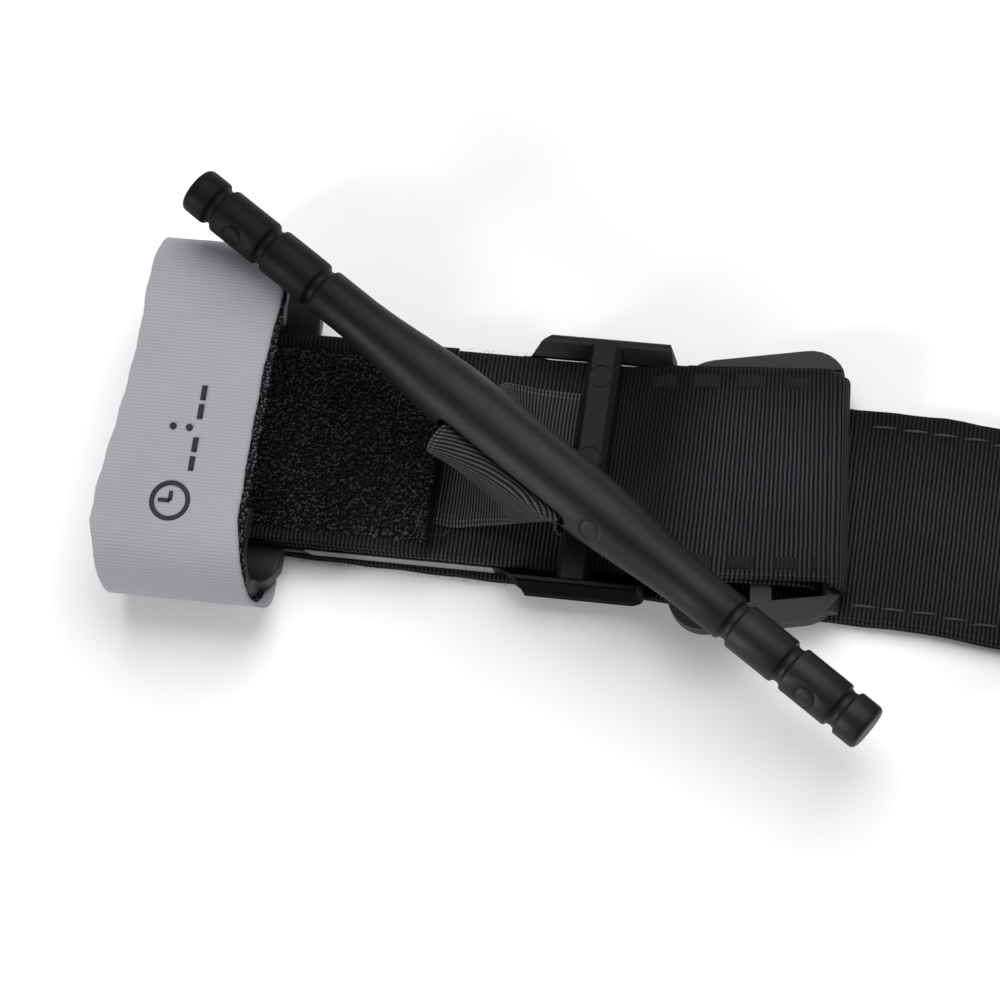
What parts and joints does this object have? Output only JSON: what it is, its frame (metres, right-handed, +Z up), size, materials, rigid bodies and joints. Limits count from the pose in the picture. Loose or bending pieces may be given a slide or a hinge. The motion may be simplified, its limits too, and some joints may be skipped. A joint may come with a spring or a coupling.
{
  "type": "tourniquet",
  "caption": "Windlass tourniquet lying flat: webbing band over a base plate, slotted windlass rod, hooked clip under a grey retaining strap, folded-back buckle",
  "frame": {"origin": "centre of the underside of the lower band run, on the resting plane, under the windlass", "axes": "+X along the strap from the clip towards the buckle, +Y across the strap, +Z up from the surface it lies on"},
  "size_m": [0.2632, 0.0858, 0.0334],
  "materials": {
    "plastic": "matte",
    "rod_plastic": "matte",
    "webbing": "ribbed webbing",
    "loop_pile": "loop pile",
    "ribbon": "ribbed ribbon",
    "grey_strap": "fine ribbed webbing",
    "hook_tape": "hook tape",
    "thread": "thread"
  },
  "bodies": {
    "base": {"base_plate": "plastic", "windlass_clip": "plastic", "clip_hook_far": "hook_tape", "clip_hook_near": "hook_tape", "strap_anchor": "grey_strap", "strap_anchor_backing": "hook_tape", "strap_anchor_stitch": "thread", "inner_strap_left": "ribbon", "inner_strap_right": "ribbon", "band_lining": "webbing", "band_face": "loop_pile", "tail_end_tab": "webbing", "loop_weld_far": "webbing", "loop_weld_near": "webbing", "tail_stitch_far": "thread", "tail_stitch_near": "thread"},
    "windlass": {"windlass_rod": "rod_plastic", "inner_strap_fold": "ribbon"},
    "time_strap": {"time_strap": "grey_strap", "time_strap_backing": "hook_tape"},
    "buckle": {"buckle": "plastic"}
  },
  "joints": [
    {"name": "windlass_turn", "type": "hinge", "parent": "base", "child": "windlass", "pos_m": [0.0011, -0.003, 0.02165], "axis": [0.1219, 0, 0.9925], "continuous": true},
    {"name": "time_strap_peel", "type": "hinge", "parent": "base", "child": "time_strap", "pos_m": [-0.06, 0.0214, 0.02265], "axis": [-1, 0, 0], "range_deg": [0, 80]},
    {"name": "buckle_swing", "type": "hinge", "parent": "base", "child": "buckle", "pos_m": [0.0516, 0, 0.0054], "axis": [-0.1045, 0.9945, 0], "range_deg": [-1.8, 0.3]}
  ]
}
